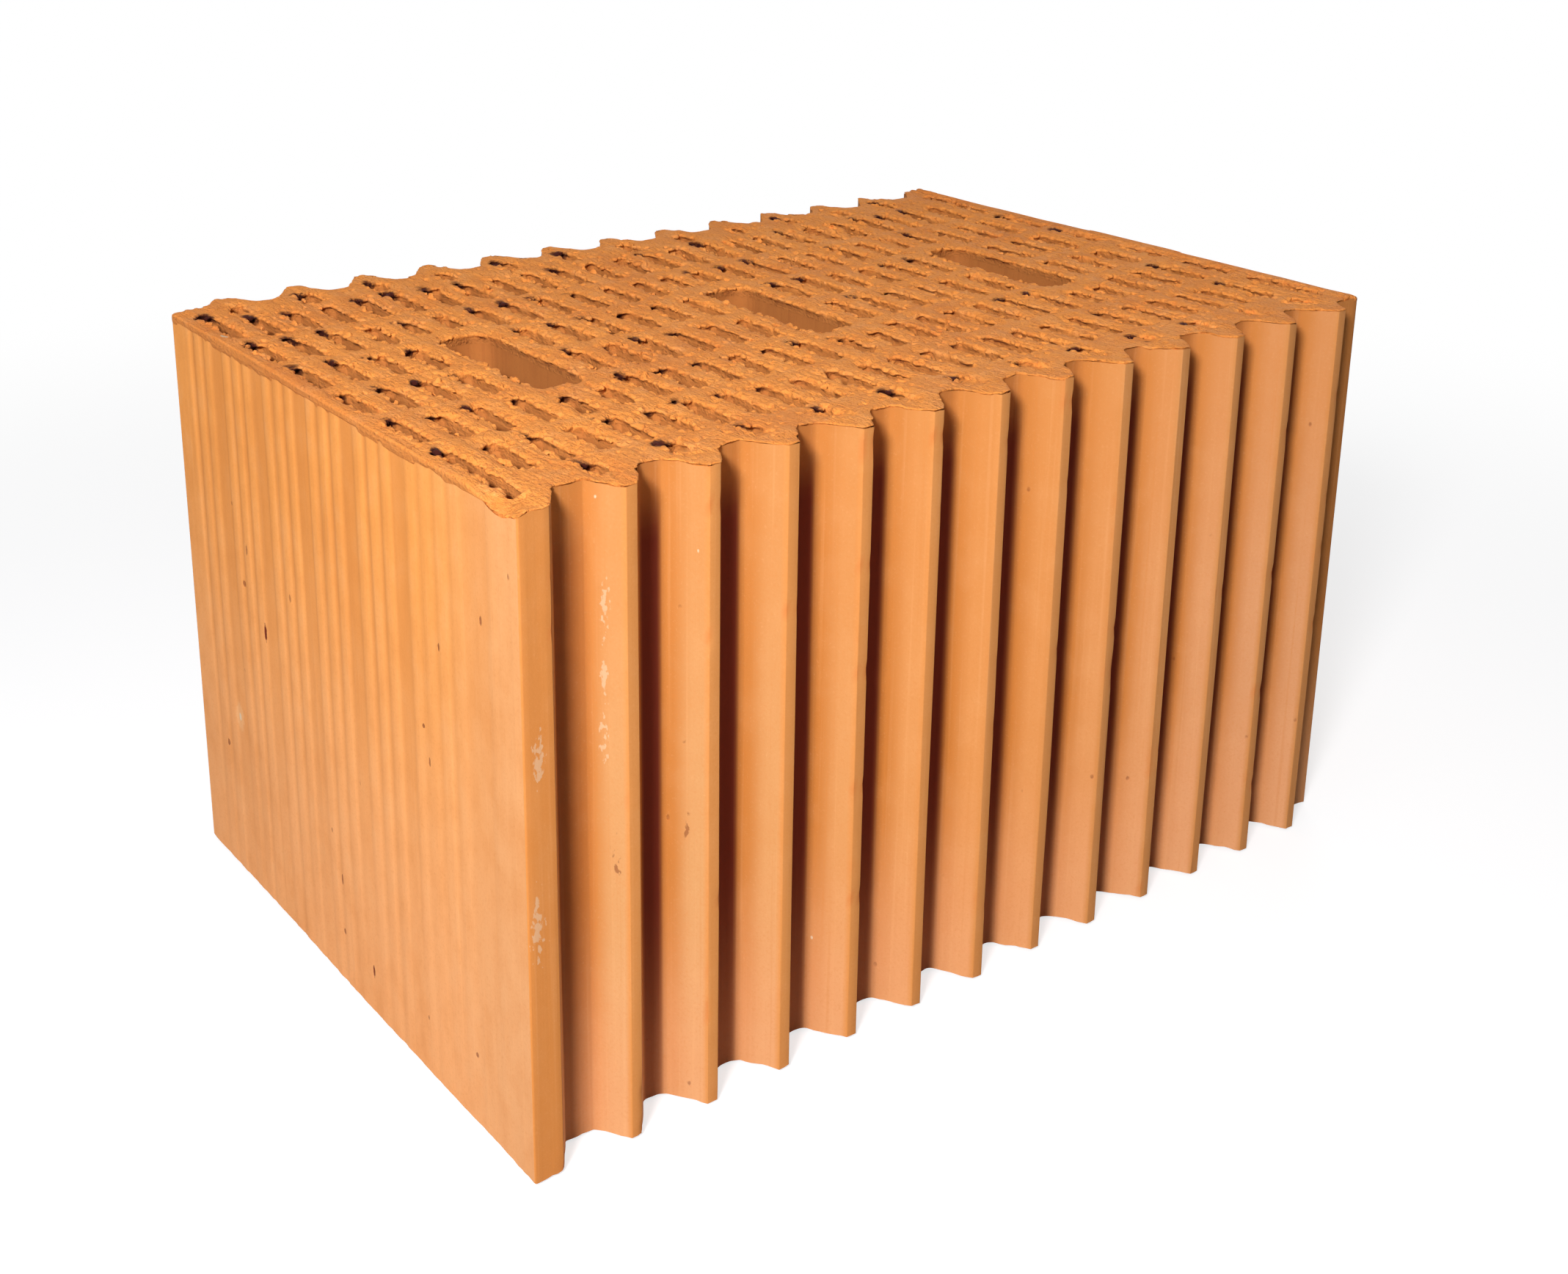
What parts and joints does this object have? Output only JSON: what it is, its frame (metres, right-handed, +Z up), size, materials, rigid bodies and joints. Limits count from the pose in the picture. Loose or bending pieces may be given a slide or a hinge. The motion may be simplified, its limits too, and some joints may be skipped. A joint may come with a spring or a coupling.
{
  "type": "perforated clay brick",
  "caption": "Large-format fired clay brick with upright slots, grip holes, fluted plaster faces and toothed sides that interlock with its neighbours.",
  "frame": {"origin": "middle of the bed face that the brick stands on", "axes": "+X across the wall, from one fluted plaster face to the other; +Y along the wall, from one toothed side to the other; +Z up along the slots"},
  "size_m": [0.38, 0.26, 0.219],
  "materials": {
    "fired_clay": "matt fired terracotta, torn where the wire cut it"
  },
  "bodies": {
    "root": {"clay_brick": "fired_clay"}
  },
  "joints": []
}
